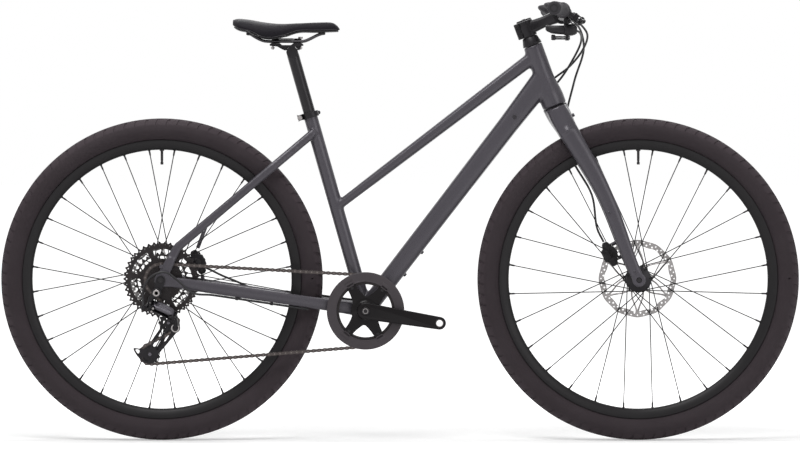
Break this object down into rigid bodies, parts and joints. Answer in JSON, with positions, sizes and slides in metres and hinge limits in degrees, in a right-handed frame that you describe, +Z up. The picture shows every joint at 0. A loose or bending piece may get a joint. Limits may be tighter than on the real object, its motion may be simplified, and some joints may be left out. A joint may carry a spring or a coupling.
{
  "type": "step through bike",
  "caption": "Hybrid bicycle with a low sloping top tube, disc brakes, chain drive with a rear derailleur, flat handlebar with levers and grips, and an adjustable saddle.",
  "frame": {"origin": "on the floor under the bike, midway between the wheel axles, in the middle plane of the frame", "axes": "+X forward, +Y to the rider's left, +Z up"},
  "size_m": [1.8158, 0.682, 0.9953],
  "materials": {
    "frame_paint": "satin",
    "black_alloy": "satin black",
    "black_plastic": "fine grained",
    "rubber": "matt",
    "tyre": "matt",
    "steel": "brushed",
    "chain_steel": "oiled",
    "saddle_cover": "matt cover"
  },
  "bodies": {
    "frame": {"frame": "frame_paint", "derailleur_hanger": "black_alloy", "bottom_bracket": "black_alloy", "headset_lower": "black_alloy", "headset_upper": "black_alloy", "seat_collar": "black_alloy", "rear_axle": "black_alloy", "rear_caliper": "black_alloy", "shift_housing_front": "rubber", "shift_housing_tail": "rubber", "rear_brake_hose": "rubber", "chain": "chain_steel"},
    "fork": {"fork": "frame_paint", "front_axle": "black_alloy", "front_caliper": "black_alloy", "front_brake_hose": "rubber", "stem": "black_alloy", "stem_faceplate": "black_alloy", "handlebar": "black_alloy", "left_grip": "rubber", "right_grip": "rubber", "left_brake_mount": "black_alloy", "right_brake_mount": "black_alloy", "shifter_pod": "black_plastic"},
    "front_wheel": {"front_tyre": "tyre", "front_inner_tube": "rubber", "front_rim": "black_alloy", "front_hub_and_spokes": "black_alloy", "front_rotor": "steel"},
    "rear_wheel": {"rear_tyre": "tyre", "rear_inner_tube": "rubber", "rear_rim": "black_alloy", "rear_hub_and_spokes": "black_alloy", "rear_rotor": "steel"},
    "cassette": {"cassette": "chain_steel"},
    "crankset": {"right_crank_arm": "black_alloy", "left_crank_arm": "black_alloy", "chainring": "black_alloy", "chain_guard": "black_plastic"},
    "derailleur_base": {"derailleur_base": "black_alloy"},
    "derailleur_outer_link": {"derailleur_outer_link": "black_alloy"},
    "derailleur_inner_link": {"derailleur_inner_link": "black_alloy"},
    "cage_knuckle": {"derailleur_cage_knuckle": "black_alloy"},
    "cage": {"derailleur_cage": "black_alloy"},
    "guide_pulley": {"guide_pulley": "black_plastic"},
    "tension_pulley": {"tension_pulley": "black_plastic"},
    "front_pad_right": {"front_pad_right": "steel"},
    "front_pad_left": {"front_pad_left": "steel"},
    "rear_pad_right": {"rear_pad_right": "steel"},
    "rear_pad_left": {"rear_pad_left": "steel"},
    "left_brake_lever": {"left_brake_lever": "black_alloy"},
    "right_brake_lever": {"right_brake_lever": "black_alloy"},
    "main_shift_lever": {"main_shift_lever": "black_plastic"},
    "release_shift_lever": {"release_shift_lever": "black_plastic"},
    "seat_clamp_lever": {"seat_clamp_lever": "black_alloy"},
    "seatpost": {"seatpost": "black_alloy"},
    "saddle_clamp": {"saddle_clamp": "black_alloy"},
    "saddle": {"saddle_rails": "steel", "saddle_base": "black_plastic", "saddle_cushion": "saddle_cover"}
  },
  "joints": [
    {"name": "steering", "type": "hinge", "parent": "frame", "child": "fork", "pos_m": [0.3528, 0, 0.7569], "axis": [-0.342, 0, 0.9397], "range_deg": [-70, 70], "deforming": ["rear_brake_hose", "shift_housing_front"]},
    {"name": "front_wheel_spin", "type": "hinge", "parent": "fork", "child": "front_wheel", "pos_m": [0.5419, 0, 0.366], "axis": [0, 1, 0], "continuous": true},
    {"name": "rear_wheel_spin", "type": "hinge", "parent": "frame", "child": "rear_wheel", "pos_m": [-0.5419, 0, 0.366], "axis": [0, 1, 0], "continuous": true},
    {"name": "crank_spin", "type": "hinge", "parent": "frame", "child": "crankset", "pos_m": [-0.0783, 0, 0.296], "axis": [0, 1, 0], "continuous": true, "deforming": ["chain"]},
    {"name": "cassette_spin", "type": "hinge", "parent": "frame", "child": "cassette", "pos_m": [-0.5419, 0, 0.366], "axis": [0, 1, 0], "continuous": true},
    {"name": "derailleur_b", "type": "hinge", "parent": "frame", "child": "derailleur_base", "pos_m": [-0.5512, 0, 0.3378], "axis": [0, 1, 0], "range_deg": [-20, 0], "stiffness_Nm_per_rad": 4, "springref_deg": 17.19, "deforming": ["chain", "shift_housing_tail"]},
    {"name": "outer_link_swing", "type": "hinge", "parent": "derailleur_base", "child": "derailleur_outer_link", "pos_m": [-0.556, -0.084, 0.309], "axis": [0.2907, 0.76, 0.5813], "range_deg": [-30, 35], "stiffness_Nm_per_rad": 8, "deforming": ["chain"]},
    {"name": "inner_link_swing", "type": "hinge", "parent": "derailleur_base", "child": "derailleur_inner_link", "pos_m": [-0.55974, -0.07685, 0.30152], "axis": [0.2907, 0.76, 0.5813], "range_deg": [-30, 35]},
    {"name": "cage_knuckle_swing", "type": "hinge", "parent": "derailleur_outer_link", "child": "cage_knuckle", "pos_m": [-0.51665, -0.084, 0.28932], "axis": [0.2907, 0.76, 0.5813], "range_deg": [-35, 30]},
    {"name": "cage_pivot", "type": "hinge", "parent": "cage_knuckle", "child": "cage", "pos_m": [-0.5094, 0, 0.2574], "axis": [0, 1, 0], "range_deg": [-20, 35], "stiffness_Nm_per_rad": 5, "deforming": ["chain"]},
    {"name": "guide_pulley_spin", "type": "hinge", "parent": "cage", "child": "guide_pulley", "pos_m": [-0.5248, 0, 0.2686], "axis": [0, 1, 0], "continuous": true},
    {"name": "tension_pulley_spin", "type": "hinge", "parent": "cage", "child": "tension_pulley", "pos_m": [-0.5674, 0, 0.1973], "axis": [0, 1, 0], "continuous": true},
    {"name": "left_lever_pull", "type": "hinge", "parent": "fork", "child": "left_brake_lever", "pos_m": [0.40655, 0.1723, 0.95165], "axis": [0.5, 0, 0.866], "range_deg": [0, 14], "stiffness_Nm_per_rad": 2, "springref_deg": -5.73},
    {"name": "right_lever_pull", "type": "hinge", "parent": "fork", "child": "right_brake_lever", "pos_m": [0.40655, -0.1723, 0.95165], "axis": [-0.5, 0, -0.866], "range_deg": [0, 14], "stiffness_Nm_per_rad": 2, "springref_deg": -5.73},
    {"name": "front_pad_right_press", "type": "slide", "parent": "fork", "child": "front_pad_right", "axis": [0, 1, 0], "range_m": [0, 0.00045]},
    {"name": "front_pad_left_press", "type": "slide", "parent": "fork", "child": "front_pad_left", "axis": [0, -1, 0], "range_m": [0, 0.00045]},
    {"name": "rear_pad_right_press", "type": "slide", "parent": "frame", "child": "rear_pad_right", "axis": [0, 1, 0], "range_m": [0, 0.00045]},
    {"name": "rear_pad_left_press", "type": "slide", "parent": "frame", "child": "rear_pad_left", "axis": [0, -1, 0], "range_m": [0, 0.00045]},
    {"name": "main_shift_push", "type": "hinge", "parent": "fork", "child": "main_shift_lever", "pos_m": [0.37533, -0.166, 0.91894], "axis": [0, 0, -1], "range_deg": [0, 25], "stiffness_Nm_per_rad": 0.1},
    {"name": "release_shift_push", "type": "hinge", "parent": "fork", "child": "release_shift_lever", "pos_m": [0.37533, -0.166, 0.91894], "axis": [0, 0, -1], "range_deg": [0, 14], "stiffness_Nm_per_rad": 0.1},
    {"name": "seat_lever_open", "type": "hinge", "parent": "frame", "child": "seat_clamp_lever", "pos_m": [-0.22789, 0.01935, 0.73325], "axis": [-0.274, 0, 0.9617], "range_deg": [0, 160]},
    {"name": "seatpost_height", "type": "slide", "parent": "frame", "child": "seatpost", "axis": [-0.274, 0, 0.9617], "range_m": [-0.08, 0.04]},
    {"name": "saddle_tilt", "type": "hinge", "parent": "seatpost", "child": "saddle_clamp", "pos_m": [-0.24541, 0, 0.88266], "axis": [0, 1, 0], "range_deg": [-10, 10]},
    {"name": "saddle_fore_aft", "type": "slide", "parent": "saddle_clamp", "child": "saddle", "axis": [1, 0, 0], "range_m": [-0.012, 0.012]}
  ],
  "couplings": [
    {"joint": "cassette_spin", "follows": "crank_spin", "ratio": 2.2222},
    {"joint": "guide_pulley_spin", "follows": "crank_spin", "ratio": -3.6364},
    {"joint": "tension_pulley_spin", "follows": "crank_spin", "ratio": 3.6364},
    {"joint": "inner_link_swing", "follows": "outer_link_swing", "ratio": 1},
    {"joint": "cage_knuckle_swing", "follows": "outer_link_swing", "ratio": -1},
    {"joint": "front_pad_right_press", "follows": "left_lever_pull", "m_per_rad": 0.001637},
    {"joint": "front_pad_left_press", "follows": "left_lever_pull", "m_per_rad": 0.001637},
    {"joint": "rear_pad_right_press", "follows": "right_lever_pull", "m_per_rad": 0.001637},
    {"joint": "rear_pad_left_press", "follows": "right_lever_pull", "m_per_rad": 0.001637}
  ]
}
